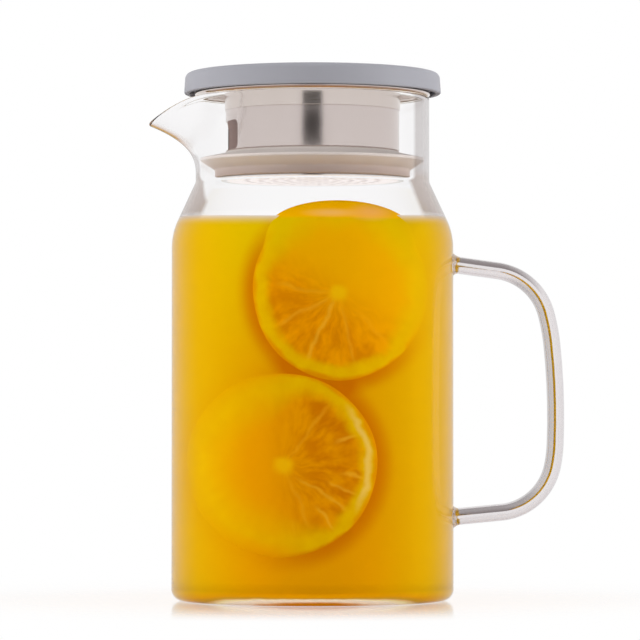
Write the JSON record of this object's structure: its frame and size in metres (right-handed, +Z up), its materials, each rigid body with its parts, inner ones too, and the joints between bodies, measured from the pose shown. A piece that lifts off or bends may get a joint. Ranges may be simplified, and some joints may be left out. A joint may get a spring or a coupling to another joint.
{
  "type": "glass pitcher with lid",
  "caption": "Clear glass pitcher with straight round body, sloped shoulder, pulled spout, rod handle and a lift-out turning lid with steel strainer cup and pour window.",
  "frame": {"origin": "centre of the underside of the base, on the axis of the round body", "axes": "+Z up along the axis of the body, -X towards the spout, +X towards the handle"},
  "size_m": [0.1767, 0.12, 0.2247],
  "materials": {
    "glass": "polished",
    "handle_glass": "polished",
    "seal": "matt",
    "cap": "matt",
    "steel": "polished",
    "cup_steel": "satin",
    "strainer_steel": "polished"
  },
  "bodies": {
    "jug": {"glass_body": "glass", "handle": "handle_glass"},
    "seal": {"seal_ring": "seal"},
    "lid": {"lid_cap": "cap", "lid_plate": "steel", "strainer_cup": "cup_steel", "strainer_plate": "strainer_steel"}
  },
  "joints": [
    {"name": "lid_lift", "type": "slide", "parent": "jug", "child": "seal", "axis": [0, 0, 1], "range_m": [0, 0.12]},
    {"name": "lid_turn", "type": "hinge", "parent": "seal", "child": "lid", "pos_m": [0, 0, 0.185], "axis": [0, 0, 1], "continuous": true}
  ]
}
